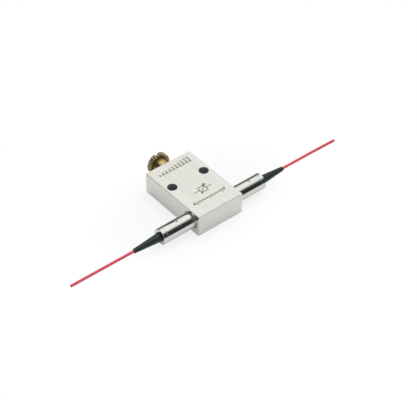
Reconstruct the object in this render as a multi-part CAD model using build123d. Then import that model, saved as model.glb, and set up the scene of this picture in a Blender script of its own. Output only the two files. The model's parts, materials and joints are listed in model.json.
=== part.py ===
from build123d import *
import os
from math import asin, cos, radians, sin

# Hand-set in-line fibre attenuator. Two fibre collimators face each other across a small metal block, and
# a knurled brass screw pushes a pin that doesn't turn into the light between them. Sizes are in millimetres.
# X runs along the fibre from left to right, Y from the fibre to the screw's head and Z up. The origin is on
# the block's bottom face, straight below the point where the light and the pin cross.

# Housing
block_width = 18.0
block_depth = 27.0
block_height = 8.0
edge_bevel = 0.1
front_wall = 1.5
bore_mouth_bevel = 0.4
mount_hole_radius = 1.7
mount_hole_to_side = 2.5
mount_holes_to_front = 16.4

# Fits
glue_line = 0.03
running_gap = 0.05

# Collimators, from the crossing outwards. Each is slid along its bore until the light couples best, so the
# two stand at different distances from the crossing.
standoff = {"left": 2.5, "right": 1.95}
tube_radius = 2.75
tube_bevel = 0.15
lens_recess = 0.3
lens_radius = 0.9
lens_length = 4.5
lens_dome_radius = 2.0
face_slant = 8.0
air_gap = 0.3
ferrule_length = 6.0
bare_fibre_radius = 0.0625
coated_fibre_radius = 0.125
sleeve_wall = 0.5
sleeve_short_of_ferrule = 0.6
strip_gap = 0.2
fill_length = 3.0
glue_hole_radius = 0.45
glue_hole_from_fill = {"left": 0.7, "right": 2.2}
glue_sink = 0.12
tail_room = 0.8

# End cap, boot and jacket
cap_rim = 1.45
cap_bevel = 0.1
cap_mouth_bevel = 0.35
seam_bevel = 0.15
cap_spigot = 1.2
cap_spigot_wall = 0.55
boot_length = {"left": 13.7, "right": 13.2}
boot_root_radius = 1.5
boot_tip_radius = 0.75
boot_straight = 4.0
boot_lip = 0.12
boot_flange_width = 0.55
boot_flange_thickness = 1.0
jacket_radius = 0.45
jacket_bore_radius = 0.25
jacket_length = {"left": 41.0, "right": 40.65}

# Blocking pin and its spring
pin_travel_in = 2.0
pin_travel_out = 1.0
blade_tip_y = 0.8
blade_length = 2.6
blade_thickness = 0.6
blade_bevel = 0.35
stem_radius = 1.0
seat_wall = 1.0
spring_length = 4.1
spring_wire_radius = 0.14
spring_turns = 6
spring_clearance = 0.2
slider_radius = 1.75
slider_length = 4.0
slider_bevel = 0.2
key_width = 1.1
key_depth = 0.7
guide_pin_radius = 0.5
guide_pin_sink = 0.4
key_floor_gap = 0.15

# Adjusting screw
shank_radius = 1.5
point_radius = 0.9
point_length = 0.6
hub_radius = 2.9
hub_length = 3.0
hub_bevel = 0.2
hub_gap = 0.1
hub_stop_room = 0.3
head_standoff = 4.0
head_above_table = 0.05
head_thickness = 2.0
head_bevel = 0.12
knurl_count = 28
knurl_depth = 0.3
slot_width = 1.1
slot_depth = 0.9
slot_lean = 3.5
ring_section = 1.3
ring_side_gap = 0.05
bush_lead_in = 0.3
screw_point_room = 0.3

# Both bores are centred in the block's height, and the head just clears the table
axis_height = block_height / 2
head_radius = axis_height - head_above_table

# Places along the screw, from the crossing backwards
tube_bore_radius = tube_radius + glue_line
front_y = -tube_bore_radius - front_wall
back_y = front_y + block_depth
mount_y = front_y + mount_holes_to_front
spring_seat_y = tube_bore_radius + seat_wall
slider_front_y = spring_seat_y + spring_length
slider_back_y = slider_front_y + slider_length
screw_point_y = slider_back_y + running_gap
guide_end_y = screw_point_y + pin_travel_out + screw_point_room
bush_front_y = guide_end_y + ring_section + ring_side_gap
head_front_y = back_y + head_standoff
head_back_y = head_front_y + head_thickness
hub_front_y = head_front_y - hub_length
bush_back_y = hub_front_y - pin_travel_in - hub_stop_room
bush_bore_radius = hub_radius + hub_gap
guide_pin_y = (slider_front_y + pin_travel_out + slider_back_y - pin_travel_in) / 2
guide_bore_radius = slider_radius + running_gap
sleeve_radius = lens_radius + glue_line + sleeve_wall
tube_wall_radius = sleeve_radius + glue_line
cap_bore_radius = boot_root_radius + running_gap
spigot_radius = cap_bore_radius + cap_spigot_wall
socket_radius = spigot_radius + glue_line


def turned_x(points):
    """A solid turned about the fibre's line, from (x, radius) points."""
    outline = make_face(Polyline(*points, close=True))
    return Pos(Z=axis_height) * revolve(outline, axis=Axis.X)


def turned_y(points):
    """A solid turned about the screw's line, from (radius, y) points."""
    outline = make_face(Polyline(*points, close=True))
    return Pos(Z=axis_height) * revolve(outline, axis=Axis.Y)


def rod_x(radius, start, end):
    """A plain rod on the fibre's line."""
    return turned_x([(start, 0), (end, 0), (end, radius), (start, radius)])


def rod_y(radius, start, end):
    """A plain rod on the screw's line."""
    return turned_y([(0, start), (0, end), (radius, end), (radius, start)])


def upright_rod(radius, x, y, bottom, top):
    """A plain upright rod."""
    return Pos(x, y, bottom) * extrude(Circle(radius), amount=top - bottom)


def slanted_face(x):
    """The plane of a polished face that leans by face_slant, so that it sends no light back."""
    lean = radians(face_slant)
    return Plane(origin=(x, 0, axis_height), z_dir=(cos(lean), 0, sin(lean)))


def housing():
    """The milled block, with the fibre's bore, the screw's stepped bore and two mounting holes."""
    blank = Pos(0, front_y + block_depth / 2, block_height / 2) * Box(block_width, block_depth, block_height)
    block = chamfer(blank.edges(), edge_bevel)
    half = block_width / 2
    mouth = tube_bore_radius + bore_mouth_bevel
    deep = half - bore_mouth_bevel
    fibre_bore = turned_x([
        (-half, 0), (half, 0), (half, mouth), (deep, tube_bore_radius), (-deep, tube_bore_radius),
        (-half, mouth),
    ])
    stem_bore = rod_y(stem_radius + running_gap, 0, spring_seat_y)
    guide_bore = rod_y(guide_bore_radius, spring_seat_y, guide_end_y)
    bush_bore = turned_y([
        (0, guide_end_y), (bush_bore_radius, guide_end_y), (bush_bore_radius, back_y - bore_mouth_bevel),
        (bush_bore_radius + bore_mouth_bevel, back_y), (0, back_y),
    ])
    pin_hole = upright_rod(guide_pin_radius + glue_line, 0, guide_pin_y, 0, axis_height)
    block = block - fibre_bore - stem_bore - guide_bore - bush_bore - pin_hole
    hole_x = half - mount_hole_to_side
    for x in (-hole_x, hole_x):
        block = block - upright_rod(mount_hole_radius, x, mount_y, 0, block_height)
    return block


def guide_pin():
    """The dowel that stands in the slider's keyway and stops it turning."""
    key_floor = axis_height - slider_radius + key_depth
    return upright_rod(guide_pin_radius, 0, guide_pin_y, guide_pin_sink, key_floor - key_floor_gap)


def shutter():
    """The blocking pin: a keyed slider, a stem and a thin blade that crosses the light."""
    slider = turned_y([
        (0, slider_front_y), (slider_radius, slider_front_y), (slider_radius, slider_back_y - slider_bevel),
        (slider_radius - slider_bevel, slider_back_y), (0, slider_back_y),
    ])
    key_room = Pos(0, slider_front_y + slider_length / 2, axis_height - slider_radius)
    keyway = key_room * Box(key_width, slider_length, 2 * key_depth)
    stem = rod_y(stem_radius, blade_tip_y, slider_front_y)
    half_blade = blade_thickness / 2
    blade_end_y = blade_tip_y + blade_length
    outline = Polyline(
        (half_blade, blade_end_y), (half_blade, blade_tip_y + blade_bevel), (0, blade_tip_y),
        (-half_blade, blade_tip_y + blade_bevel), (-half_blade, blade_end_y),
        (-stem_radius, blade_end_y), (-stem_radius, slider_front_y),
        (stem_radius, slider_front_y), (stem_radius, blade_end_y), close=True,
    )
    height = 2 * stem_radius
    envelope = Pos(Z=axis_height - stem_radius) * extrude(make_face(outline), amount=height)
    return (slider - keyway) + (stem & envelope)


def shutter_spring():
    """The open coil between its seat in the housing and the slider."""
    coil_radius = slider_radius - spring_clearance - spring_wire_radius
    height = spring_length - 2 * spring_wire_radius - 2 * running_gap
    path = Helix(pitch=height / spring_turns, height=height, radius=coil_radius)
    wire = Plane(origin=path @ 0, z_dir=path % 0) * Circle(spring_wire_radius)
    coil = sweep(wire, path=path)
    start_y = spring_seat_y + running_gap + spring_wire_radius
    return Pos(0, start_y, axis_height) * Rot(X=-90) * coil


def drag_ring():
    """The O-ring in front of the bush, which drags on the screw's shank."""
    section_radius = ring_section / 2
    centre = (shank_radius + running_gap + section_radius, guide_end_y + section_radius)
    return Pos(Z=axis_height) * revolve(Pos(*centre) * Circle(section_radius), axis=Axis.Y)


def thread_bush():
    """The bush with the screw's thread, drawn as a plain bore. The hub runs into the room left behind it."""
    outer = bush_bore_radius - glue_line
    bore = shank_radius + running_gap
    return turned_y([
        (bore, bush_front_y), (outer, bush_front_y), (outer, bush_back_y),
        (bore + bush_lead_in, bush_back_y), (bore, bush_back_y - bush_lead_in),
    ])


def knurled_head():
    """The head: a disc with straight V grooves round its rim, bevelled edges and a driver slot."""
    reach = head_radius + knurl_depth
    half_width = knurl_depth * 2
    groove = Polygon((reach, -half_width), (reach, half_width), (head_radius - knurl_depth, 0), align=None)
    rim = Circle(head_radius) - PolarLocations(0, knurl_count) * groove
    disc = Pos(0, head_front_y, axis_height) * Rot(X=-90) * extrude(rim, amount=head_thickness)
    bevelled = turned_y([
        (0, head_front_y), (head_radius - head_bevel, head_front_y),
        (head_radius, head_front_y + head_bevel), (head_radius, head_back_y - head_bevel),
        (head_radius - head_bevel, head_back_y), (0, head_back_y),
    ])
    across = Rot(Y=-slot_lean) * Box(slot_width, 2 * slot_depth, 3 * head_radius)
    slot = Pos(0, head_back_y, axis_height) * across
    return (disc & bevelled) - slot


def adjuster_screw():
    """The brass screw: knurled head, plain hub, threaded shank drawn plain and a small point."""
    shank_end_y = screw_point_y + point_length
    body = turned_y([
        (0, screw_point_y), (point_radius, screw_point_y), (point_radius, shank_end_y),
        (shank_radius - hub_bevel, shank_end_y), (shank_radius, shank_end_y + hub_bevel),
        (shank_radius, hub_front_y), (hub_radius - hub_bevel, hub_front_y),
        (hub_radius, hub_front_y + hub_bevel), (hub_radius, head_front_y), (0, head_front_y),
    ])
    return knurled_head() + body


class Collimator:
    """The pieces of one side, built on the right from the crossing outwards and mirrored for the left."""

    def __init__(self, side):
        self.side = side
        self.inner_end = standoff[side]
        self.lens_start = self.inner_end + lens_recess
        self.lens_end = self.lens_start + lens_length
        self.ferrule_start = self.lens_end + air_gap
        self.ferrule_end = self.ferrule_start + ferrule_length
        self.jacket_start = self.ferrule_end + strip_gap
        self.fill_end = self.jacket_start + fill_length
        self.glue_hole_x = self.jacket_start + glue_hole_from_fill[side]
        self.boot_seat = self.fill_end + tail_room
        self.seam = self.boot_seat + boot_flange_thickness + cap_spigot
        self.outer_end = self.seam + cap_rim
        self.boot_end = self.boot_seat + boot_length[side]
        self.jacket_end = self.jacket_start + jacket_length[side]

    def glue_hole(self, radius, top):
        """A round plug from the fibre's line up through the tube's wall."""
        return upright_rod(radius, self.glue_hole_x, 0, axis_height + jacket_radius, axis_height + top)

    def collimator_tube(self):
        inner = tube_radius - tube_bevel
        tube = turned_x([
            (self.inner_end, tube_wall_radius), (self.inner_end, inner),
            (self.inner_end + tube_bevel, tube_radius), (self.seam - seam_bevel, tube_radius),
            (self.seam, tube_radius - seam_bevel), (self.seam, socket_radius),
            (self.boot_seat, socket_radius), (self.boot_seat, tube_wall_radius),
        ])
        return tube - self.glue_hole(glue_hole_radius, 2 * tube_radius)

    def end_cap(self):
        spigot_end = self.seam - cap_spigot
        return turned_x([
            (spigot_end, cap_bore_radius), (spigot_end, spigot_radius), (self.seam, spigot_radius),
            (self.seam, tube_radius - seam_bevel), (self.seam + seam_bevel, tube_radius),
            (self.outer_end - cap_bevel, tube_radius), (self.outer_end, tube_radius - cap_bevel),
            (self.outer_end, cap_bore_radius + cap_mouth_bevel),
            (self.outer_end - cap_mouth_bevel, cap_bore_radius),
        ])

    def boot(self):
        bore = jacket_radius + glue_line
        flange = boot_root_radius + boot_flange_width
        flange_end = self.boot_seat + boot_flange_thickness
        taper_start = self.boot_seat + boot_straight
        lip = boot_tip_radius - boot_lip / 2
        return turned_x([
            (self.boot_seat, bore), (self.boot_seat, flange), (flange_end, flange),
            (flange_end, boot_root_radius), (taper_start, boot_root_radius),
            (self.boot_end - boot_lip, boot_tip_radius), (self.boot_end, lip), (self.boot_end, bore),
        ])

    def jacket(self):
        return turned_x([
            (self.jacket_start, jacket_bore_radius), (self.jacket_start, jacket_radius),
            (self.jacket_end, jacket_radius), (self.jacket_end, jacket_bore_radius),
        ])

    def fibre(self):
        return turned_x([
            (self.ferrule_start, 0), (self.ferrule_start, bare_fibre_radius),
            (self.ferrule_end, bare_fibre_radius), (self.ferrule_end, coated_fibre_radius),
            (self.jacket_end, coated_fibre_radius), (self.jacket_end, 0),
        ])

    def ferrule(self):
        bore = bare_fibre_radius + glue_line
        lean_room = lens_radius * sin(radians(face_slant))
        start = self.ferrule_start - lean_room
        tube = turned_x([
            (start, bore), (start, lens_radius), (self.ferrule_end, lens_radius), (self.ferrule_end, bore),
        ])
        return split(tube, bisect_by=slanted_face(self.ferrule_start), keep=Keep.TOP)

    def lens(self):
        half_angle = asin(lens_radius / lens_dome_radius) / 2
        dome_x = self.lens_start + lens_dome_radius
        crown = (self.lens_start, 0)
        shoulder = (dome_x - lens_dome_radius * cos(half_angle), lens_dome_radius * sin(half_angle))
        rim = (dome_x - lens_dome_radius * cos(2 * half_angle), lens_radius)
        lean_room = lens_radius * sin(radians(face_slant))
        back = self.lens_end + lean_room
        dome = ThreePointArc(crown, shoulder, rim)
        sides = Polyline(rim, (back, lens_radius), (back, 0), crown)
        blank = Pos(Z=axis_height) * revolve(make_face(dome + sides), axis=Axis.X)
        return split(blank, bisect_by=slanted_face(self.lens_end), keep=Keep.BOTTOM)

    def lens_sleeve(self):
        bore = lens_radius + glue_line
        end = self.ferrule_end - sleeve_short_of_ferrule
        return turned_x([
            (self.inner_end, bore), (self.inner_end, sleeve_radius), (end, sleeve_radius), (end, bore),
        ])

    def epoxy(self):
        bore = jacket_radius + glue_line
        outer = tube_wall_radius - glue_line
        fill = turned_x([
            (self.jacket_start, bore), (self.jacket_start, outer), (self.fill_end, outer),
            (self.fill_end, bore),
        ])
        plug = self.glue_hole(glue_hole_radius - glue_line, tube_radius - glue_sink)
        return fill + (plug - rod_x(bore, self.jacket_start, self.fill_end))

    def pieces(self):
        """Each piece by name, mirrored on the left."""
        makers = {
            "collimator_tube": self.collimator_tube, "end_cap": self.end_cap, "boot": self.boot,
            "jacket": self.jacket, "fibre": self.fibre, "ferrule": self.ferrule, "lens": self.lens,
            "lens_sleeve": self.lens_sleeve, "epoxy": self.epoxy,
        }
        for name, make in makers.items():
            solid = make()
            if self.side == "left":
                solid = mirror(solid, about=Plane.YZ)
            yield f"{name}_{self.side}", solid


nodes = {
    "housing": housing(),
    "guide_pin": guide_pin(),
    "shutter": shutter(),
    "shutter_spring": shutter_spring(),
    "drag_ring": drag_ring(),
    "thread_bush": thread_bush(),
    "adjuster_screw": adjuster_screw(),
}
for side in standoff:
    nodes.update(Collimator(side).pieces())

os.makedirs("parts", exist_ok=True)
for name, solid in nodes.items():
    export_step(solid, f"parts/{name}.step")
    print(name, round(solid.volume, 3))
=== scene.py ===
"""Looks of a small in-line fibre attenuator: finishes, laser marks, tapped holes, fibres and a studio."""

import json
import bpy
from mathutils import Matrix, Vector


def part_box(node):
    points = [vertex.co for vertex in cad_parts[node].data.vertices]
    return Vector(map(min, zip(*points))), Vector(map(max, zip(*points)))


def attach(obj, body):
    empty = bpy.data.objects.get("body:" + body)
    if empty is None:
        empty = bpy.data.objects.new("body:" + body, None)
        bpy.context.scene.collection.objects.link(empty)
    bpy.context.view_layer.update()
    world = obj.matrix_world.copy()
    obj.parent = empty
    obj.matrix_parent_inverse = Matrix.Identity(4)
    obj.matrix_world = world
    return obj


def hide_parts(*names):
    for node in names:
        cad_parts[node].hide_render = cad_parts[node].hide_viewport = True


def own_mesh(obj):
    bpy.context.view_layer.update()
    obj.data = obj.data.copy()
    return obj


bl_info = {
    "name": "Fibre Attenuator",
    "version": (1, 0, 0),
    "blender": (4, 5, 0),
    "location": "View3D > Sidebar > Attenuator",
    "description": "Dresses a screw-adjusted in-line fibre attenuator and sets up a pale studio round it",
    "category": "Object",
}

from math import cos, pi, radians, sin

import bmesh
import bpy
import numpy as np
from mathutils import Matrix, Vector

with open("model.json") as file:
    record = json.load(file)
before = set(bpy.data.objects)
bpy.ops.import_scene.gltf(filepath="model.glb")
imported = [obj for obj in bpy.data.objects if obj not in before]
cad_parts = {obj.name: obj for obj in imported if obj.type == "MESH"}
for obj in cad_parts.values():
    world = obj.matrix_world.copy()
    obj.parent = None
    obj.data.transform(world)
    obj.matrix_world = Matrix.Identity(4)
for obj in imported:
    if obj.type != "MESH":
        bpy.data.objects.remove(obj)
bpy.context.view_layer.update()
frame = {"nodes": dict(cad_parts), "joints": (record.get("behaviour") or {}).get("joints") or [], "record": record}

MM = 0.001
SIDES = ("left", "right")


# Places taken from the frame, in millimetres

def limits(node):
    """A node's lowest and highest corners at rest."""
    low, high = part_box(node)
    return np.array(low) / MM, np.array(high) / MM


def outward(side):
    """Which way along X a side's fibre runs."""
    return -1 if side == "left" else 1


def far_x(node, side):
    """How far from the crossing a node of one side ends."""
    low, high = limits(f"{node}_{side}")
    return max(abs(low[0]), abs(high[0]))


def near_x(node, side):
    """How far from the crossing a node of one side starts."""
    low, high = limits(f"{node}_{side}")
    return min(abs(low[0]), abs(high[0]))


block_low, block_high = limits("housing")
screw_low, screw_high = limits("adjuster_screw")
axis_height = (screw_low[2] + screw_high[2]) / 2
holes = next(m for m in frame["record"]["mounts"] if m["name"] == "mounting_holes")
hole_radius = holes["dims"]["hole_r_mm"]
hole_x = holes["dims"]["spacing_x_mm"] / 2
hole_y = holes["pos_m"][1] / MM


# Colours and nodes

# Steps of a value: one that is smooth at both ends, and such a step over the middle of a noise's range
SOFT = {"interpolation_type": "SMOOTHSTEP"}
MIDDLE = {"From Min": 0.3, "From Max": 0.7, **SOFT}


def linear(code):
    """An sRGB hex code as linear red, green and blue."""
    values = np.array([int(code[i:i + 2], 16) for i in (0, 2, 4)]) / 255
    return tuple(np.where(values <= 0.04045, values / 12.92, ((values + 0.055) / 1.055) ** 2.4).tolist())


def opaque(colour):
    """Red, green and blue with full alpha, as a colour socket takes them."""
    return (*colour, 1.0)


def shade(colour, factor):
    """A colour made darker or lighter."""
    return tuple(min(1.0, value * factor) for value in colour)


def add_node(tree, kind, settings=None, links=None):
    """Adds a shader node, sets its input sockets or else its attributes from settings, and links its inputs.

    The kind is its type without the leading ShaderNode. A link comes from an output, or from a node, which
    stands for its first output.
    """
    node = tree.nodes.new(f"ShaderNode{kind}")
    sockets = {socket.name for socket in node.inputs}
    for name, value in (settings or {}).items():
        if isinstance(name, int) or name in sockets:
            node.inputs[name].default_value = value
        else:
            setattr(node, name, value)
    for name, source in (links or {}).items():
        output = source.outputs[0] if isinstance(source, bpy.types.Node) else source
        tree.links.new(output, node.inputs[name])
    return node


def new_material(name, colour, settings):
    """A material whose one Principled shader has a base colour and the settings.

    Gives the material, its tree and its shader.
    """
    material = bpy.data.materials.new(name)
    material.use_nodes = True
    tree = material.node_tree
    shader = tree.nodes["Principled BSDF"]
    for socket, value in {"Base Color": opaque(colour), **settings}.items():
        shader.inputs[socket].default_value = value
    return material, tree, shader


def measured_from(tree, place):
    """Object coordinates in millimetres, counted from a place."""
    here = add_node(tree, "TexCoord")
    return add_node(tree, "Mapping", {
        "Location": tuple(-float(value) for value in place), "Scale": (1 / MM, 1 / MM, 1 / MM),
    }, {"Vector": here.outputs["Object"]})


def grain(tree, shader, size, detail=2.0, stretch=(1, 1, 1), tones=None, rough=None, depth=None):
    """What a process leaves on a surface, as noise on Object coordinates.

    Its features are about size millimetres, and longer by stretch along X, Y and Z. Where they are given, its
    middle range takes the base colour from one shade of itself to another and the roughness from one value to
    another, and its height is depth millimetres. Gives the noise's output.
    """
    place = add_node(tree, "TexCoord")
    scaled = add_node(tree, "Mapping", {
        "Scale": tuple(1 / (size * MM * longer) for longer in stretch),
    }, {"Vector": place.outputs["Object"]})
    noise = add_node(tree, "TexNoise", {
        "Scale": 1.0, "Detail": detail, "Roughness": 0.55,
    }, {"Vector": scaled}).outputs["Fac"]
    if tones:
        base = shader.inputs["Base Color"].default_value[:3]
        share = add_node(tree, "MapRange", MIDDLE, {"Value": noise})
        colour = add_node(tree, "Mix", {
            "data_type": "RGBA", 6: opaque(shade(base, tones[0])), 7: opaque(shade(base, tones[1])),
        }, {0: share})
        tree.links.new(colour.outputs[2], shader.inputs["Base Color"])
    if rough:
        finish = add_node(tree, "MapRange", {
            **MIDDLE, "To Min": rough[0], "To Max": rough[1],
        }, {"Value": noise})
        tree.links.new(finish.outputs["Result"], shader.inputs["Roughness"])
    if depth:
        bump = add_node(tree, "Bump", {"Strength": 1.0, "Distance": depth * MM}, {"Height": noise})
        tree.links.new(bump.outputs["Normal"], shader.inputs["Normal"])
    return noise


# Metals

def satin_aluminium(colours):
    """Aluminium, fine-milled, lightly brushed and clear anodised.

    It gives a pale satin face with soft reflections, in which the tubes and the screw show, and faint brush
    lines along the block. The real lines are about 0.05 mm apart and are drawn 0.6 mm apart, so that they
    show. The broken edges, less than 0.1 mm from two of the block's planes, are left matt, so they stay pale
    in any room. How near a point is to two planes is the least of the larger gaps of all pairs of planes. The
    top and the underside are milkier, as a bead-blasted face is, and so stay pale from every side.
    """
    level_gap = 0.02
    edge_gap = 0.098
    edge_roughness = 0.3
    material, tree, shader = new_material("satin_anodised_aluminium", colours.block, {})
    grain(tree, shader, size=0.6, detail=3.0, stretch=(1, 40, 1), tones=(0.92, 1.0), depth=0.002)
    clouds = grain(tree, shader, size=5.0)
    middle = (block_low + block_high) / 2
    centred = measured_from(tree, middle)
    folded = add_node(tree, "VectorMath", {"operation": "ABSOLUTE"}, {0: centred})
    gaps = add_node(tree, "VectorMath", {
        "operation": "SUBTRACT", 0: tuple((block_high - middle).tolist()),
    }, {1: folded})
    parts = add_node(tree, "SeparateXYZ", None, {"Vector": gaps})
    level = add_node(tree, "Math", {"operation": "LESS_THAN", 1: level_gap}, {0: parts.outputs["Z"]})
    metal = add_node(tree, "MapRange", {**SOFT, "To Min": 0.85, "To Max": 0.56}, {"Value": level})
    rolled = add_node(tree, "CombineXYZ", None, {
        "X": parts.outputs["Y"], "Y": parts.outputs["Z"], "Z": parts.outputs["X"],
    })
    pairs = add_node(tree, "VectorMath", {"operation": "MAXIMUM"}, {0: gaps, 1: rolled})
    larger = add_node(tree, "SeparateXYZ", None, {"Vector": pairs})
    least = add_node(tree, "Math", {"operation": "MINIMUM"}, {
        0: larger.outputs["X"], 1: larger.outputs["Y"],
    })
    second = add_node(tree, "Math", {"operation": "MINIMUM"}, {0: least, 1: larger.outputs["Z"]})
    broken = add_node(tree, "Math", {"operation": "LESS_THAN", 1: edge_gap}, {0: second})
    cloudy = add_node(tree, "MapRange", {**MIDDLE, "To Min": 0.12, "To Max": 0.17}, {"Value": clouds})
    rough = add_node(tree, "Math", {"operation": "MULTIPLY_ADD", 1: edge_roughness}, {0: broken, 2: cloudy})
    tree.links.new(metal.outputs["Result"], shader.inputs["Metallic"])
    tree.links.new(rough.outputs["Value"], shader.inputs["Roughness"])
    return material


def polished_steel(colours):
    """Stainless steel, ground round and polished.

    It gives the collimator tubes their bright and dark stripes, with fine rings from the lathe and faint
    smears. The real rings are about 0.02 mm apart and are drawn 0.15 mm apart.
    """
    material, tree, shader = new_material("polished_stainless_steel", colours.steel, {"Metallic": 1.0})
    grain(tree, shader, size=0.15, stretch=(1, 400, 400), depth=0.0006)
    grain(tree, shader, size=2.5, detail=3.0, rough=(0.07, 0.15))
    return material


def ground_steel(colours):
    """Tool steel, ground.

    It gives the blocking pin and the dowel an even grey sheen with crosswise grinding lines.
    """
    material, tree, shader = new_material("ground_tool_steel", shade(colours.steel, 0.8), {"Metallic": 1.0})
    grain(tree, shader, size=0.12, stretch=(60, 1, 60), rough=(0.2, 0.38), depth=0.001)
    return material


def spring_wire(colours):
    """Music wire, cold drawn. It gives the spring a darker, smooth grey with lines along the wire."""
    material, tree, shader = new_material("drawn_music_wire", shade(colours.steel, 0.6), {"Metallic": 1.0})
    grain(tree, shader, size=0.1, stretch=(8, 8, 1), rough=(0.18, 0.3))
    return material


def turned_brass(colours):
    """Free-cutting brass, turned and knurled, a little tarnished.

    It gives a golden mirror broken by lathe rings, with brown left in the knurl's grooves. The rings are
    drawn 0.2 mm apart, about eight times the real feed. A groove is where a point lies deeper than the turned
    and bevelled rim at its place along the screw. The same brown is painted shade along the hub towards the
    head and over the head's inner face and slot. The rim is kept free of it towards the outer face, and its
    ridges are pale, partly from wear by fingers and partly as a painted highlight.
    """
    half_head = 1.0
    bevel = 0.12
    skin = 0.01
    rim = (screw_high[0] - screw_low[0]) / 2 + skin
    knurl_depth = 0.33
    knurl_roughness = 0.16
    material, tree, shader = new_material("turned_brass", colours.brass, {"Metallic": 0.9})
    grain(tree, shader, size=0.2, stretch=(400, 1, 400), depth=0.0012)
    stains = grain(tree, shader, size=0.9, detail=4.0)
    centred = measured_from(tree, (0, screw_high[1] - half_head, axis_height))
    parts = add_node(tree, "SeparateXYZ", None, {"Vector": centred})
    along = parts.outputs["Y"]
    across = add_node(tree, "CombineXYZ", None, {"X": parts.outputs["X"], "Z": parts.outputs["Z"]})
    radius = add_node(tree, "VectorMath", {"operation": "LENGTH"}, {0: across})
    offset = add_node(tree, "Math", {"operation": "ABSOLUTE"}, {0: along})
    bevelled = add_node(tree, "MapRange", {
        "From Min": half_head - bevel, "From Max": half_head, "To Min": rim, "To Max": rim - bevel,
    }, {"Value": offset})
    depth = add_node(tree, "Math", {"operation": "SUBTRACT"}, {0: bevelled, 1: radius.outputs["Value"]})
    groove = add_node(tree, "MapRange", {**SOFT, "From Min": 0.05, "From Max": 0.2}, {"Value": depth})
    shallow = add_node(tree, "Math", {"operation": "LESS_THAN", 1: knurl_depth}, {0: depth})
    inside = add_node(tree, "Math", {"operation": "LESS_THAN", 1: half_head - skin}, {0: offset})
    cut = add_node(tree, "Math", {"operation": "MULTIPLY"}, {0: shallow, 1: inside})
    between = add_node(tree, "Math", {"operation": "MULTIPLY"}, {0: groove, 1: cut})
    # Painted shade: darker along the hub towards the head, and over the head's inner face and slot.
    hub_painted_shade = add_node(tree, "MapRange", {
        **SOFT, "From Min": -2.9, "From Max": -1.7, "To Max": 0.36,
    }, {"Value": along})
    # The knurled rim and the outer face are kept free of that painted shade, the more so towards the outer face.
    outer = add_node(tree, "Math", {"operation": "GREATER_THAN", 1: half_head - skin}, {0: along})
    rubbed = add_node(tree, "Math", {"operation": "MAXIMUM"}, {0: cut, 1: outer})
    unshaded_outwards = add_node(tree, "MapRange", {**SOFT, "From Min": -1.0, "From Max": 0.6}, {"Value": along})
    unshaded_share = add_node(tree, "Math", {"operation": "MULTIPLY"}, {0: rubbed, 1: unshaded_outwards})
    shade_share = add_node(tree, "Math", {"operation": "SUBTRACT", 0: 1.0}, {1: unshaded_share})
    spots = add_node(tree, "MapRange", {**MIDDLE, "To Max": 0.2}, {"Value": stains})
    dull = add_node(tree, "Math", {"operation": "MULTIPLY_ADD"}, {0: hub_painted_shade, 1: shade_share, 2: spots})
    # The brown is patina in the knurl's grooves and painted shade everywhere else it is laid.
    patina_and_shade = add_node(tree, "Math", {"operation": "MAXIMUM"}, {0: between, 1: dull})
    # Pale ridges: partly wear by fingers, partly a painted highlight.
    ridge = add_node(tree, "Math", {"operation": "SUBTRACT"}, {0: cut, 1: between})
    pale = add_node(tree, "MapRange", {**SOFT, "To Max": 0.65}, {"Value": ridge})
    bare_and_highlit = add_node(tree, "Mix", {
        "data_type": "RGBA", 6: opaque(colours.brass), 7: opaque(colours.ridges),
    }, {0: pale})
    colour = add_node(tree, "Mix", {"data_type": "RGBA", 7: opaque(colours.tarnish_and_shade)}, {
        0: patina_and_shade, 6: bare_and_highlit.outputs[2],
    })
    smooth = add_node(tree, "MapRange", {**MIDDLE, "To Min": 0.16, "To Max": 0.28}, {"Value": stains})
    rough = add_node(tree, "Math", {"operation": "MULTIPLY_ADD", 1: knurl_roughness}, {0: cut, 2: smooth})
    tree.links.new(colour.outputs[2], shader.inputs["Base Color"])
    tree.links.new(rough.outputs["Value"], shader.inputs["Roughness"])
    return material


def bush_bronze(colours):
    """Bearing bronze, turned. It gives the threaded bush a redder, duller ring round the screw."""
    material, tree, shader = new_material("turned_bronze", colours.bronze, {"Metallic": 1.0})
    grain(tree, shader, size=0.2, stretch=(400, 1, 400), rough=(0.22, 0.36), depth=0.0015)
    return material


def painted_shade_thread(colours):
    """Tapped thread in a dark grey that is painted shade. It gives the mounting holes dark grey walls with a dull
    sheen.
    """
    material, tree, shader = new_material("painted_shade_thread", colours.hole, {"IOR": 1.45})
    grain(tree, shader, size=0.3, detail=3.0, tones=(0.8, 1.2), rough=(0.4, 0.6))
    return material


def laser_mark(colours):
    """Anodised aluminium, laser-marked. It gives dull grey-brown strokes with a slightly burnt grain."""
    material, tree, shader = new_material("laser_marked_aluminium", colours.mark, {"Metallic": 0.35})
    grain(tree, shader, size=0.25, detail=3.0, tones=(0.75, 1.2), rough=(0.5, 0.7))
    return material


# Plastics, rubber and glass

def boot_rubber(colours):
    """Thermoplastic rubber, moulded. It gives the boots a blue-black satin with a fine matt grain."""
    material, tree, shader = new_material("moulded_rubber", colours.boot, {"IOR": 1.5})
    grain(tree, shader, size=0.25, detail=3.0, tones=(0.85, 1.12), rough=(0.36, 0.5), depth=0.006)
    return material


def ring_rubber(colours):
    """Nitrile rubber, moulded and greased. It gives the drag ring a black gloss."""
    material, tree, shader = new_material("greased_nitrile_rubber", shade(colours.boot, 0.7), {
        "IOR": 1.5, "Coat Weight": 0.4,
    })
    grain(tree, shader, size=0.3, rough=(0.3, 0.5))
    return material


def jacket_pvc(colours):
    """PVC tube, extruded. It gives the jackets a warm red with a soft gloss and slight waves along them."""
    material, tree, shader = new_material("extruded_pvc", colours.jacket, {"IOR": 1.53})
    grain(tree, shader, size=0.9, stretch=(8, 1, 1), tones=(0.96, 1.03), rough=(0.36, 0.46), depth=0.0008)
    return material


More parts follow.
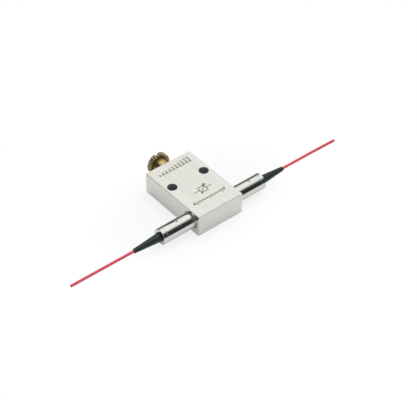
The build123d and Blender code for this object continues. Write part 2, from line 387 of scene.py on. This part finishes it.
def fibre_acrylate(colours):
    """Glass fibre in clear acrylate. It gives the cut ends a small milky glint."""
    material, tree, shader = new_material("acrylate_coated_fibre", colours.fibre, {
        "IOR": 1.5, "Transmission Weight": 0.5,
    })
    grain(tree, shader, size=0.1, stretch=(20, 1, 1), rough=(0.12, 0.25))
    return material


def lens_glass(colours):
    """Optical glass, polished. It gives the lenses a clear body with a faint cool tint."""
    material, tree, shader = new_material("polished_optical_glass", colours.glass, {
        "IOR": 1.52, "Transmission Weight": 1.0,
    })
    grain(tree, shader, size=0.8, rough=(0.0, 0.04))
    return material


def capillary_glass(colours):
    """Borosilicate glass, drawn and ground. It gives ferrules and sleeves a frosted, see-through wall."""
    material, tree, shader = new_material("ground_borosilicate_glass", colours.glass, {
        "IOR": 1.47, "Transmission Weight": 0.9,
    })
    grain(tree, shader, size=0.15, detail=3.0, stretch=(1, 30, 30), rough=(0.15, 0.35), depth=0.001)
    return material


def cured_epoxy(colours):
    """Epoxy, cast and cured. It gives the glue hole a grey-green, glassy plug with small bubbles."""
    material, tree, shader = new_material("cured_epoxy", colours.epoxy, {"IOR": 1.55, "Coat Weight": 0.5})
    grain(tree, shader, size=0.3, detail=3.0, tones=(0.8, 1.15), rough=(0.2, 0.35))
    return material


def bonding_epoxy_and_shade(colours):
    """Black-filled epoxy, cured. Its dark line in the bore mouths is partly painted shade; one tube gets a dark,
    glossy smear.
    """
    material, tree, shader = new_material("black_epoxy_and_shade", colours.bond_and_shade, {"IOR": 1.55})
    grain(tree, shader, size=0.4, tones=(0.8, 1.2), rough=(0.25, 0.4))
    return material


def dress(material, *nodes):
    """Gives CAD nodes a material, with their meshes left as they are."""
    for name in nodes:
        node = frame["nodes"][name]
        if not node.material_slots:
            node.data.materials.append(material)
        for slot in node.material_slots:
            slot.material = material


def both(name):
    """A node's name on each side."""
    return [f"{name}_{side}" for side in SIDES]


# Surfaces

def new_piece(name, sheets, material, body, crease=35):
    """A piece from sheets of points in millimetres.

    Each sheet is (points, closed): a grid of rows and columns whose neighbours are joined by quads. Columns
    close on themselves, and rows do too where closed is true. Points that coincide are merged, which closes
    the poles, and all faces are then turned outwards. Edges bent by more than crease degrees stay sharp.
    """
    points = []
    quads = []
    count = 0
    for grid, closed in sheets:
        rows, columns = grid.shape[:2]
        index = count + np.arange(rows * columns).reshape(rows, columns)
        if closed:
            index = np.vstack([index, index[:1]])
        index = np.hstack([index, index[:, :1]])
        corners = [index[:-1, :-1], index[1:, :-1], index[1:, 1:], index[:-1, 1:]]
        quads.append(np.stack(corners, axis=-1).reshape(-1, 4))
        points.append(grid.reshape(-1, 3))
        count += rows * columns
    mesh = bpy.data.meshes.new(name)
    mesh.from_pydata(np.concatenate(points) * MM, [], np.concatenate(quads))
    shell = bmesh.new()
    shell.from_mesh(mesh)
    bmesh.ops.remove_doubles(shell, verts=shell.verts, dist=1e-7)
    bmesh.ops.recalc_face_normals(shell, faces=shell.faces)
    shell.to_mesh(mesh)
    shell.free()
    mesh.shade_smooth()
    mesh.set_sharp_from_angle(angle=radians(crease))
    mesh.materials.append(material)
    piece = bpy.data.objects.new(name, mesh)
    bpy.context.scene.collection.objects.link(piece)
    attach(piece, body)
    return piece


def carried(path, profile, around=32):
    """Points of a profile carried along a path.

    Each profile point is (distance along the path, radius). Its ring lies round the path's point at that
    distance, in the plane across the path there: centre + radius (cos a level + sin a upright).
    """
    steps = np.diff(path, axis=0)
    lengths = np.linalg.norm(steps, axis=1)
    travelled = np.concatenate([[0], np.cumsum(lengths)])
    directions = np.vstack([steps, steps[-1:]]) / np.append(lengths, lengths[-1])[:, None]
    distance, radius = np.array(profile, float).T
    centre = np.stack([np.interp(distance, travelled, path[:, i]) for i in range(3)], axis=-1)
    along = np.stack([np.interp(distance, travelled, directions[:, i]) for i in range(3)], axis=-1)
    level = np.cross((0, 0, 1), along)
    level /= np.linalg.norm(level, axis=1)[:, None]
    upright = np.cross(along, level)
    angle = np.linspace(0, 2 * pi, around, endpoint=False)[None, :, None]
    ring = np.cos(angle) * level[:, None] + np.sin(angle) * upright[:, None]
    return centre[:, None] + radius[:, None, None] * ring


def stroke(line, width, low, high, closed=False):
    """Points of a flat stroke on the top face.

    Each point of the line is moved half the width to both sides along its mitred normal, at the low and the
    high level, so a section is a flat rectangle. An open stroke ends in rows that shrink to its middle.
    """
    line = np.array(line, float)
    after = np.roll(line, -1, axis=0) - line
    before = line - np.roll(line, 1, axis=0)
    if not closed:
        after[-1] = before[-1]
        before[0] = after[0]
    after /= np.linalg.norm(after, axis=1)[:, None]
    before /= np.linalg.norm(before, axis=1)[:, None]
    middle = after + before
    middle /= np.linalg.norm(middle, axis=1)[:, None]
    reach = width / 2 / (middle * after).sum(axis=1)[:, None]
    across = np.stack([-middle[:, 1], middle[:, 0]], axis=-1) * reach
    corners = [(line - across, low), (line + across, low), (line + across, high), (line - across, high)]
    grid = np.stack([np.column_stack([flat, np.full(len(flat), level)]) for flat, level in corners], axis=1)
    if closed:
        return grid, True
    first = np.repeat(grid[:1].mean(axis=1, keepdims=True), 4, axis=1)
    last = np.repeat(grid[-1:].mean(axis=1, keepdims=True), 4, axis=1)
    return np.concatenate([first, grid, last]), False


def spline_line(points):
    """Points in millimetres along the smooth NURBS spline whose control points are given, ends included."""
    curve = bpy.data.curves.new("route", "CURVE")
    curve.dimensions = "3D"
    curve.resolution_u = 12
    spline = curve.splines.new("NURBS")
    spline.points.add(len(points) - 1)
    spline.points.foreach_set("co", np.column_stack([np.array(points), np.ones(len(points))]).ravel())
    spline.order_u = 3
    spline.use_endpoint_u = True
    holder = bpy.data.objects.new("route", curve)
    mesh = bpy.data.meshes.new_from_object(holder)
    line = np.empty(3 * len(mesh.vertices))
    mesh.vertices.foreach_get("co", line)
    bpy.data.meshes.remove(mesh)
    bpy.data.objects.remove(holder)
    bpy.data.curves.remove(curve)
    return line.reshape(-1, 3)


# What a user would change

def colour_property(name, description, code):
    """A colour, given as an sRGB hex code."""
    return bpy.props.FloatVectorProperty(
        name=name, description=description, subtype="COLOR", default=linear(code))


def length_property(name, description, millimetres):
    """A length, given in millimetres."""
    return bpy.props.FloatProperty(
        name=name, description=description, unit="LENGTH", default=millimetres * MM, precision=6)


class AttenuatorColours(bpy.types.PropertyGroup):
    block: colour_property("Block", "Anodised aluminium of the block", "dfddd6")
    steel: colour_property("Steel", "Polished steel of the collimator tubes", "d3d2cc")
    brass: colour_property("Brass", "Clean brass of the screw", "ccb374")
    # This pale colour is partly wear and partly a painted highlight on the ridges.
    ridges: colour_property("Ridges", "Brass of the knurl's ridges, rubbed pale", "e2d7b4")
    # Its brown is patina in the knurl's grooves and painted shade on the hub, the head's inner face and the slot.
    tarnish_and_shade: colour_property("Tarnish", "Brown left in the knurl", "5c4840")
    bronze: colour_property("Bronze", "Bronze of the threaded bush", "b07c4e")
    # This dark grey is painted shade inside the mounting holes.
    hole: colour_property("Hole", "Blackened walls of the mounting holes", "868e8e")
    mark: colour_property("Mark", "Laser marks on the block", "a7a69a")
    boot: colour_property("Boot", "Rubber of the boots", "152729")
    jacket: colour_property("Jacket", "PVC of the fibre jackets", "e64458")
    fibre: colour_property("Fibre", "Acrylate coating of the fibre", "efe9d2")
    glass: colour_property("Glass", "Tint of lenses, ferrules and sleeves", "eef4f4")
    epoxy: colour_property("Epoxy", "Cured epoxy in the glue holes", "97968c")
    # Its black at the bore mouths is partly glue and partly painted shade in the gap round each tube.
    bond_and_shade: colour_property("Bond", "Black epoxy at bore mouths and seams", "2c2f30")


class AttenuatorMarks(bpy.types.PropertyGroup):
    stroke: length_property("Stroke", "Width of a marked line", 0.42)
    height: length_property("Height", "How far the marks stand above the face", 0.006)
    bars: bpy.props.IntProperty(
        name="Bars", description="Bars of the level scale beside the screw", default=10, min=3)


class AttenuatorThread(bpy.types.PropertyGroup):
    pitch: length_property("Pitch", "Pitch of the tapped mounting holes", 0.7)
    depth: length_property("Depth", "Depth of that thread as drawn", 0.12)


class AttenuatorFibres(bpy.types.PropertyGroup):
    left_rise: length_property("Left rise", "How far the left jacket's tip stands above its line", 0.2)
    right_rise: length_property("Right rise", "How far the right jacket's tip stands above its line", -0.2)


class AttenuatorStudio(bpy.types.PropertyGroup):
    azimuth: bpy.props.FloatProperty(
        name="Azimuth", description="Camera's direction round the block", subtype="ANGLE",
        default=radians(-40.473))
    elevation: bpy.props.FloatProperty(
        name="Elevation", description="Camera's height above the horizon", subtype="ANGLE",
        default=radians(42.527))
    roll: bpy.props.FloatProperty(
        name="Roll", description="Camera's turn about its own line", subtype="ANGLE", default=radians(1.025))
    distance: length_property("Distance", "From the camera to its aim", 396.46)
    aim: bpy.props.FloatVectorProperty(
        name="Aim", description="The point that the camera looks at", subtype="XYZ", unit="LENGTH",
        default=(1.466 * MM, 3.509 * MM, 4.0 * MM), precision=6)
    focal_length: bpy.props.FloatProperty(
        name="Focal length", description="Lens of the camera, in millimetres", default=106.64)
    softbox: bpy.props.FloatProperty(
        name="Softbox", description="Brightness of the overhead softbox in reflections", default=1.3)
    surroundings: bpy.props.FloatProperty(
        name="Surroundings", description="Brightness of the dim room in reflections", default=0.2)
    walls: bpy.props.FloatProperty(
        name="Walls", description="Brightness of the white walls in front in reflections", default=0.6)
    lamp: bpy.props.FloatProperty(
        name="Lamp", description="Power of the overhead lamp, in watts", default=1.36)


# Pieces

class ATTENUATOR_OT_finish_block(bpy.types.Operator):
    """Gives the block, its dowel and its two tapped holes their finishes"""
    bl_idname = "attenuator.finish_block"
    bl_label = "Block"

    def execute(self, context):
        colours = context.scene.attenuator_colours
        dress(satin_aluminium(colours), "housing")
        dress(ground_steel(colours), "guide_pin")
        # The holes' threaded linings are a dark grey that is painted shade.
        black = painted_shade_thread(colours)
        for side in SIDES:
            grid = self.tapped_wall(outward(side) * hole_x, context.scene.attenuator_thread)
            new_piece(f"hole_thread_{side}", [(grid, True)], black, "block", crease=60)
        return {"FINISHED"}

    def tapped_wall(self, x, thread):
        """Points of a hole's threaded lining.

        Going down the wall, the radius is the hole's less the depth times a triangle wave of height over
        pitch less angle over a turn, which makes one helical ridge. It fades in over a pitch at each mouth.
        The back of the lining is a plain wall just inside the hole's own.
        """
        pitch = thread.pitch / MM
        depth = thread.depth / MM
        skin = 0.005
        inset = 0.03
        rows = 140
        columns = 48
        top = block_high[2] - inset
        bottom = block_low[2] + inset
        height = np.linspace(top, bottom, rows)[:, None]
        angle = np.linspace(0, 2 * pi, columns, endpoint=False)[None, :]
        wave = np.abs(2 * ((height / pitch - angle / (2 * pi)) % 1) - 1)
        fade = np.clip(np.minimum(top - height, height - bottom) / pitch, 0, 1)
        inner = hole_radius - 2 * skin - depth * wave * fade
        outer = np.full((2, columns), hole_radius - skin)
        radius = np.vstack([inner, outer])
        level = np.vstack([height, [[bottom], [top]]])
        flat = [x + radius * np.cos(angle), hole_y + radius * np.sin(angle), level + 0 * radius]
        return np.stack(flat, axis=-1)


class ATTENUATOR_OT_mark_block(bpy.types.Operator):
    """Marks the top face with a level scale, an adjustable-loss symbol and the light's path"""
    bl_idname = "attenuator.mark_block"
    bl_label = "Marks"

    def execute(self, context):
        marks = context.scene.attenuator_marks
        sunk = 0.002
        self.width = marks.stroke / MM
        self.low = block_high[2] - sunk
        self.high = block_high[2] + marks.height / MM
        burnt = laser_mark(context.scene.attenuator_colours)
        groups = {
            "level_scale": self.level_scale(marks.bars),
            "adjustable_loss_symbol": self.loss_symbol(),
            "light_path_arrow": self.light_path(),
        }
        for name, sheets in groups.items():
            new_piece(name, sheets, burnt, "block")
        return {"FINISHED"}

    def line(self, *points, closed=False, width=1.0):
        """A stroke through points on the top, whose width is a share of a marked line's."""
        return stroke(points, self.width * width, self.low, self.high, closed)

    def level_scale(self, bars):
        """Broad upright bars that grow from left to right on a base line, beside the screw."""
        left = -6.1
        right = 6.3
        foot = block_high[1] - 4.2
        shortest = 0.8
        tallest = 2.6
        broad = 1.5
        thin = 0.8
        past = 0.3
        yield self.line((left - past, foot), (right + past, foot), width=thin)
        for x, tall in zip(np.linspace(left, right, bars), np.linspace(shortest, tallest, bars)):
            yield self.line((x, foot), (x, foot + tall), width=broad)

    def loss_symbol(self):
        """A box in a line, crossed by an arrow, as circuit diagrams draw an adjustable attenuator."""
        x = 0.6
        y = 5.4
        half = 1.25
        lead = 2.3
        reach = 1.8
        head = 0.9
        box = [(x - half, y - half), (x + half, y - half), (x + half, y + half), (x - half, y + half)]
        yield self.line(*box, closed=True)
        yield self.line((x - half - lead, y), (x - half, y))
        yield self.line((x + half, y), (x + half + lead, y))
        yield self.line((x - reach, y - reach), (x + reach, y + reach))
        yield self.line((x + reach - head, y + reach), (x + reach, y + reach), (x + reach, y + reach - head))

    def light_path(self):
        """A two-headed arrow along the fibre, with a tick for each millimetre and long ones at the fives."""
        left = -6.3
        right = 6.3
        y = 1.45
        head = 0.6
        thin = 0.95
        long_tick = 1.15
        short_tick = 0.7
        yield self.line((left, y), (right, y), width=thin)
        for tip, way in ((left, 1), (right, -1)):
            yield self.line((tip + way * head, y + head), (tip, y), (tip + way * head, y - head), width=thin)
        for x in range(-5, 6):
            tick = short_tick if x % 5 else long_tick
            yield self.line((x, y), (x, y - tick), width=thin)


class ATTENUATOR_OT_finish_collimators(bpy.types.Operator):
    """Gives the tubes, caps, lenses, ferrules, sleeves and epoxy of both sides their finishes"""
    bl_idname = "attenuator.finish_collimators"
    bl_label = "Collimators"

    def execute(self, context):
        colours = context.scene.attenuator_colours
        steel = polished_steel(colours)
        dress(steel, *both("collimator_tube"), *both("end_cap"))
        dress(lens_glass(colours), *both("lens"))
        dress(capillary_glass(colours), *both("ferrule"), *both("lens_sleeve"))
        clear = cured_epoxy(colours)
        dress(clear, *both("epoxy"))
        dress(boot_rubber(colours), *both("boot"))
        bond_and_shade = bonding_epoxy_and_shade(colours)
        for side in SIDES:
            # Each bore mouth's dark ring is glue whose black is also painted shade.
            self.ring(f"bore_bond_and_shade_{side}", side, block_high[0], self.bore_section(), bond_and_shade, "cured_epoxy")
            self.ring(f"seam_weld_{side}", side, far_x("collimator_tube", side), self.seam_section(), steel,
                      "polished_steel")
        self.smear("glue_smear_left", "left", bond_and_shade, long=3.8, wide=0.4)
        self.smear("glue_smear_right", "right", clear, long=2.4, wide=0.3)
        return {"FINISHED"}

    def smear(self, name, side, material, long, wide):
        """A thin film of epoxy wiped from the glue hole towards the left, along the tube.

        Half its width is the given one times the root of the length left, less a taper, and over the tip it
        starts from, times the root of the share of the tip gone. Its section round the tube is a flat lens,
        highest in the middle. Both ends shrink to a point.
        """
        turn = 0.2
        thickness = 0.035
        sunk = 0.01
        overlap = 0.35
        taper = 0.35
        tip = 1 / 12
        rows = 25
        columns = 9
        low, high = limits(f"epoxy_{side}")
        middle = (low + high) / 2
        radius = self.tube_radius()
        centre = np.arctan2(middle[2] - axis_height, middle[1]) - turn
        along = np.linspace(0, 1, rows)[:, None]
        half = wide * np.sqrt(1 - along) * np.clip(along / tip, 0, 1) ** 0.5 * (1 - taper * along)
        across = np.linspace(-1, 1, columns)[None, :]
        top = radius + thickness * (1 - across ** 2) * (half / wide)
        bottom = np.full((rows, columns - 2), radius - sunk)
        level = np.hstack([top, bottom])
        offset = np.hstack([half * across, half * across[:, -2:0:-1]])
        angle = centre + offset / radius
        x = middle[0] + overlap - long * along + 0 * level
        grid = np.stack([x, level * np.cos(angle), axis_height + level * np.sin(angle)], axis=-1)
        new_piece(name, [(grid, False)], material, "block", crease=80)

    def ring(self, name, side, start, section, material, slot):
        """A ring round a tube: its section, from a place on the fibre's line, carried round the tube."""
        way = outward(side)
        before = 1.0
        line = np.array([[way * (start - before), 0, axis_height], [way * (start + before), 0, axis_height]])
        profile = [(before + along, radius) for along, radius in section]
        new_piece(name, [(carried(line, profile, around=64), True)], material, "block")

    def bore_section(self):
        """A ring of adhesive sunk in the bevel at the bore's mouth. It leaves a dark gap round the tube, partly
        glue and partly painted shade.
        """
        radius = self.tube_radius()
        mouth = -0.3
        root = -0.38
        inner = radius + 0.006
        return [(mouth, inner), (mouth, radius + 0.098), (root, radius + 0.018), (root, inner)]

    def seam_section(self):
        """A flat weld bead in the V between tube and cap, a little below their surface."""
        radius = self.tube_radius()
        edge = 0.122
        flat = 0.05
        rim = radius - 0.03
        face = radius - 0.036
        root = radius - 0.145
        return [(-edge, rim), (-flat, face), (flat, face), (edge, rim), (0.0, root)]

    def tube_radius(self):
        """The tubes' radius, which is also that of their caps."""
        low, high = limits("end_cap_left")
        return (high[2] - low[2]) / 2


class ATTENUATOR_OT_run_fibres(bpy.types.Operator):
    """Makes each side's fibre and its hollow red jacket along one smooth route"""
    bl_idname = "attenuator.run_fibres"
    bl_label = "Fibres"

    def execute(self, context):
        colours = context.scene.attenuator_colours
        fibres = context.scene.attenuator_fibres
        pvc = jacket_pvc(colours)
        acrylate = fibre_acrylate(colours)
        for side, rise in (("left", fibres.left_rise / MM), ("right", fibres.right_rise / MM)):
            self.run_side(side, rise, pvc, acrylate)
        return {"FINISHED"}

    def run_side(self, side, rise, pvc, acrylate):
        """One side's jacket and fibre, each a profile carried along the same route.

        The jacket's profile runs out along its outside, over its rounded tip and back along its bore. The
        fibre's is bare glass inside the ferrule and coated from there on.
        """
        way = outward(side)
        start = near_x("jacket", side)
        end = far_x("jacket", side)
        low, high = limits(f"jacket_{side}")
        radius = (high[2] - low[2]) / 2
        bore = 0.25
        coating = 0.125
        glass = 0.0625
        rounding = 0.04
        route = spline_line([
            (way * start, 0, axis_height), (way * (start + 9.5), 0, axis_height),
            (way * (start + 20), 0, axis_height), (way * (start + 30.5), 0.03, axis_height + 0.3 * rise),
            (way * end, -0.06, axis_height + rise),
        ])
        length = np.linalg.norm(np.diff(route, axis=0), axis=1).sum()
        stations = np.linspace(0, length - rounding, 60)
        outside = [(s, radius) for s in stations]
        inside = [(s, bore) for s in stations[::-1]]
        section = outside + [(length, radius - rounding), (length, bore + rounding / 2)] + inside
        tube = (carried(route, section), True)
        jacket = new_piece(f"fibre_jacket_{side}", [tube], pvc, "block")
        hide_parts(f"jacket_{side}")
        ferrule_start = near_x("fibre", side)
        strip = far_x("ferrule", side) - ferrule_start
        lead_in = start - ferrule_start
        core_path = np.vstack([[(way * ferrule_start, 0, axis_height)], route])
        bare = [(0, 0), (0, glass), (strip, glass)]
        coated = [(distance, coating) for distance in (strip, *(lead_in + stations), lead_in + length)]
        rod = (carried(core_path, bare + coated + [(lead_in + length, 0)], around=16), False)
        fibre = new_piece(f"coated_fibre_{side}", [rod], acrylate, "block")
        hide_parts(f"fibre_{side}")
        way * far_x("end_cap", side) * MM


class ATTENUATOR_OT_finish_adjuster(bpy.types.Operator):
    """Gives the brass screw, its bush, its drag ring, the blocking pin and its spring their finishes"""
    bl_idname = "attenuator.finish_adjuster"
    bl_label = "Adjuster"

    def execute(self, context):
        colours = context.scene.attenuator_colours
        brass = turned_brass(colours)
        dress(brass, "adjuster_screw")
        self.bead_hub(brass)
        dress(bush_bronze(colours), "thread_bush")
        dress(ring_rubber(colours), "drag_ring")
        dress(ground_steel(colours), "shutter")
        dress(spring_wire(colours), "shutter_spring")
        self.press_spring()
        return {"FINISHED"}

    def press_spring(self):
        """Works out how much of its length the spring would keep as the screw drives the blocking pin in, and
        gives the spring its own mesh; the shortening is not applied.
        """
        low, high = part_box("shutter_spring")
        slide = next(joint for joint in frame["joints"] if joint["name"] == "pin_slide")
        keep = 1 - max(slide["range_m"]) / (high[1] - low[1])
        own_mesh(frame["nodes"]["shutter_spring"])

    def bead_hub(self, brass):
        """A turned bead round the hub, just before the head: half a circle carried round the hub."""
        hub = 2.9
        bead = 0.16
        sunk = 0.01
        root = 0.05
        back = 3.0
        middle = 0.45
        start = screw_high[1] - back
        line = np.array([[0, start, axis_height], [0, screw_high[1], axis_height]])
        arc = [(middle - bead * cos(a), hub - sunk + bead * sin(a)) for a in np.linspace(0, pi, 9)]
        ring = (carried(line, arc + [(middle, hub - root)], around=64), True)
        new_piece("hub_bead", [ring], brass, "adjuster")


class ATTENUATOR_OT_build_stage(bpy.types.Operator):
    """Sets up the white floor, the softbox overhead, the lamp and the camera"""
    bl_idname = "attenuator.build_stage"
    bl_label = "Stage"

    def execute(self, context):
        studio = context.scene.attenuator_studio
        context.scene.view_settings.view_transform = "Standard"
        self.lay_floor()
        self.light_room(studio)
        self.hang_lamp(studio)
        self.aim_camera(studio)
        return {"FINISHED"}

    def lay_floor(self):
        """A flat square of paper just under the block.

        It is white in the camera and keeps a faint violet shadow near the object. In reflections it gives way
        to the dim room farther out, as the edge of a real sheet does. How much of its white is its own glow
        differs between the kinds of ray.
        """
        half = 1.5
        below = -0.02 * MM
        corners = [(-half, -half, below), (half, -half, below), (half, half, below), (-half, half, below)]
        mesh = bpy.data.meshes.new("floor")
        mesh.from_pydata(corners, [], [(0, 1, 2, 3)])
        floor = bpy.data.objects.new("floor", mesh)
        bpy.context.scene.collection.objects.link(floor)
        white = linear("f7f6f8")
        violet = linear("e9e4f4")
        material, tree, shader = new_material("white_paper", white, {
            "Roughness": 0.9, "Specular IOR Level": 0.0,
        })
        rays = add_node(tree, "LightPath")
        colour = add_node(tree, "Mix", {"data_type": "RGBA", 6: opaque(white), 7: opaque(violet)}, {
            0: rays.outputs["Is Camera Ray"],
        })
        tree.links.new(colour.outputs[2], shader.inputs["Base Color"])
        block_y = (block_low[1] + block_high[1]) / 2
        bright = self.away_from(tree, (0.0, block_y), weight_x=0.6, start=12.0, end=24.0, low=0.8, high=1.0)
        share = add_node(tree, "Math", {"operation": "MULTIPLY"}, {
            0: rays.outputs["Is Camera Ray"], 1: bright,
        })
        for ray, glowing in (("Is Glossy Ray", 0.35), ("Is Transmission Ray", 0.5), ("Is Diffuse Ray", 0.35)):
            share = add_node(tree, "Math", {"operation": "MULTIPLY_ADD", 1: glowing}, {
                0: rays.outputs[ray], 2: share,
            })
        glow = add_node(tree, "Emission", {"Color": opaque((1, 1, 1)), "Strength": 1.0})
        paper = add_node(tree, "MixShader", None, {0: share, 1: shader, 2: glow})
        edge = self.away_from(tree, (-12.0, -25.0), weight_x=1.0, start=50.0, end=68.0, low=0.0, high=0.9)
        beyond = add_node(tree, "Math", {"operation": "MULTIPLY"}, {
            0: rays.outputs["Is Glossy Ray"], 1: edge,
        })
        room = add_node(tree, "Emission", {"Color": opaque(linear("c9d2d6")), "Strength": 0.15})
        mix = add_node(tree, "MixShader", None, {0: beyond, 1: paper, 2: room})
        tree.links.new(mix.outputs["Shader"], tree.nodes["Material Output"].inputs["Surface"])
        mesh.materials.append(material)

    def away_from(self, tree, place, weight_x, start, end, low, high):
        """A value that goes from low to high as the distance from a place goes from start to end.

        Place and distances are in millimetres on the floor, and what lies along X counts by its weight.
        """
        here = add_node(tree, "TexCoord")
        apart = add_node(tree, "Mapping", {
            "Location": (-weight_x * place[0], -place[1], 0), "Scale": (weight_x / MM, 1 / MM, 0),
        }, {"Vector": here.outputs["Object"]})
        distance = add_node(tree, "VectorMath", {"operation": "LENGTH"}, {0: apart})
        return add_node(tree, "MapRange", {
            **SOFT, "From Min": start, "From Max": end, "To Min": low, "To Max": high,
        }, {"Value": distance.outputs["Value"]})

    def light_room(self, studio):
        """A dim room with a wide softbox overhead and white walls in front, white where the camera sees it.

        The room is darkest low in front and behind on the left, where a small dark flag stands as well. Each
        of these is a smooth step of the cosine between a ray and its own direction. The white walls show
        where a ray points forwards, but for two narrow dark flags, where its part along X is close to the
        share that the camera's own rays have.
        """
        share_x = 0.478
        half_width = 0.13
        world = bpy.data.worlds.new("studio")
        bpy.context.scene.world = world
        world.use_nodes = True
        tree = world.node_tree
        room = tree.nodes["Background"]
        dim = studio.surroundings
        softbox = self.towards(tree, (0.15, 0.27, 0.95), start=0.47, end=0.95, low=0.0, high=1.0)
        low_front = self.towards(tree, (0.0, -0.954, 0.301), start=0.52, end=0.84, low=1.0, high=0.24)
        behind = self.towards(tree, (-0.8, 0.6, 0.0), start=0.3, end=0.9, low=dim, high=0.4 * dim)
        dark_flag = self.towards(tree, (-0.64, 0.561, 0.525), start=0.955, end=0.985, low=1.0, high=0.2)
        lit = add_node(tree, "Mix", {"data_type": "FLOAT", 3: studio.softbox}, {0: softbox, 2: behind})
        shaded = add_node(tree, "Math", {"operation": "MULTIPLY"}, {0: lit, 1: low_front})
        flagged = add_node(tree, "Math", {"operation": "MULTIPLY"}, {0: shaded, 1: dark_flag})
        front = self.towards(tree, (0.0, -1.0, 0.0), start=-0.1, end=0.25, low=0.0, high=studio.walls)
        place = add_node(tree, "TexCoord")
        folded = add_node(tree, "VectorMath", {"operation": "ABSOLUTE"}, {0: place.outputs["Generated"]})
        parts = add_node(tree, "SeparateXYZ", None, {"Vector": folded})
        flags = add_node(tree, "Math", {"operation": "COMPARE", 1: share_x, 2: half_width}, {
            0: parts.outputs["X"],
        })
        clear = add_node(tree, "Math", {"operation": "SUBTRACT", 0: 1.0}, {1: flags})
        wall = add_node(tree, "Math", {"operation": "MULTIPLY"}, {0: front, 1: clear})
        strength = add_node(tree, "Math", {"operation": "MAXIMUM"}, {0: flagged, 1: wall})
        tree.links.new(strength.outputs["Value"], room.inputs["Strength"])
        colour = add_node(tree, "Mix", {
            "data_type": "RGBA", 6: opaque(linear("cfdbe0")), 7: opaque(linear("fffffe")),
        }, {0: softbox})
        tree.links.new(colour.outputs[2], room.inputs["Color"])
        white = add_node(tree, "Background", {"Color": opaque((1, 1, 1)), "Strength": 1.0})
        rays = add_node(tree, "LightPath")
        mix = add_node(tree, "MixShader", None, {0: rays.outputs["Is Camera Ray"], 1: room, 2: white})
        tree.links.new(mix.outputs["Shader"], tree.nodes["World Output"].inputs["Surface"])

    def towards(self, tree, direction, start, end, low, high):
        """A value that goes from low to high as a ray's cosine to a direction goes from start to end."""
        place = add_node(tree, "TexCoord")
        facing = add_node(tree, "VectorMath", {"operation": "DOT_PRODUCT", 1: direction}, {
            0: place.outputs["Generated"],
        })
        return add_node(tree, "MapRange", {
            **SOFT, "From Min": start, "From Max": end, "To Min": low, "To Max": high,
        }, {"Value": facing.outputs["Value"]})

    def hang_lamp(self, studio):
        """A soft lamp behind the softbox's middle, which lights floor, rubber and plastic."""
        data = bpy.data.lights.new("overhead_lamp", "AREA")
        data.shape = "DISK"
        data.size = 0.5
        data.energy = studio.lamp
        lamp = bpy.data.objects.new("overhead_lamp", data)
        bpy.context.scene.collection.objects.link(lamp)
        lamp.visible_glossy = False
        place = Vector((0.16, 0.0, 0.55))
        lamp.matrix_world = Matrix.Translation(place) @ place.to_track_quat("Z", "Y").to_matrix().to_4x4()

    def aim_camera(self, studio):
        """The camera stands back from its aim and is turned about its own line by the roll."""
        data = bpy.data.cameras.new("camera")
        data.lens = studio.focal_length
        data.clip_start = 0.01
        data.clip_end = 10
        turn = studio.azimuth
        rise = studio.elevation
        back = Vector((sin(turn) * cos(rise), -cos(turn) * cos(rise), sin(rise)))
        level = Vector((cos(turn), sin(turn), 0))
        upright = back.cross(level)
        right = level * cos(studio.roll) + upright * sin(studio.roll)
        up = upright * cos(studio.roll) - level * sin(studio.roll)
        camera = bpy.data.objects.new("camera", data)
        bpy.context.scene.collection.objects.link(camera)
        place = Vector(studio.aim) + back * studio.distance
        camera.matrix_world = Matrix.Translation(place) @ Matrix((right, up, back)).transposed().to_4x4()
        bpy.context.scene.camera = camera


class ATTENUATOR_PT_sidebar(bpy.types.Panel):
    """Lists the attenuator's colours, sizes and pieces"""
    bl_idname = "ATTENUATOR_PT_sidebar"
    bl_label = "Fibre attenuator"
    bl_space_type = "VIEW_3D"
    bl_region_type = "UI"
    bl_category = "Attenuator"

    def draw(self, context):
        for name in settings:
            group = getattr(context.scene, name)
            box = self.layout.box()
            for key in group.__annotations__:
                box.prop(group, key)
        for operator in operators:
            self.layout.operator(operator.bl_idname)


settings = {
    "attenuator_colours": AttenuatorColours,
    "attenuator_marks": AttenuatorMarks,
    "attenuator_thread": AttenuatorThread,
    "attenuator_fibres": AttenuatorFibres,
    "attenuator_studio": AttenuatorStudio,
}
operators = (
    ATTENUATOR_OT_build_stage,
    ATTENUATOR_OT_run_fibres,
    ATTENUATOR_OT_finish_block,
    ATTENUATOR_OT_mark_block,
    ATTENUATOR_OT_finish_collimators,
    ATTENUATOR_OT_finish_adjuster,
)


def register():
    for name, group in settings.items():
        bpy.utils.register_class(group)
        setattr(bpy.types.Scene, name, bpy.props.PointerProperty(type=group))
    for operator in operators:
        bpy.utils.register_class(operator)
    bpy.utils.register_class(ATTENUATOR_PT_sidebar)


def unregister():
    bpy.utils.unregister_class(ATTENUATOR_PT_sidebar)
    for operator in reversed(operators):
        bpy.utils.unregister_class(operator)
    for name, group in reversed(settings.items()):
        delattr(bpy.types.Scene, name)
        bpy.utils.unregister_class(group)


def main():
    register()
    bpy.ops.attenuator.build_stage()
    bpy.ops.attenuator.run_fibres()
    bpy.ops.attenuator.finish_block()
    bpy.ops.attenuator.mark_block()
    bpy.ops.attenuator.finish_collimators()
    bpy.ops.attenuator.finish_adjuster()


if __name__ == "__main__":
    main()
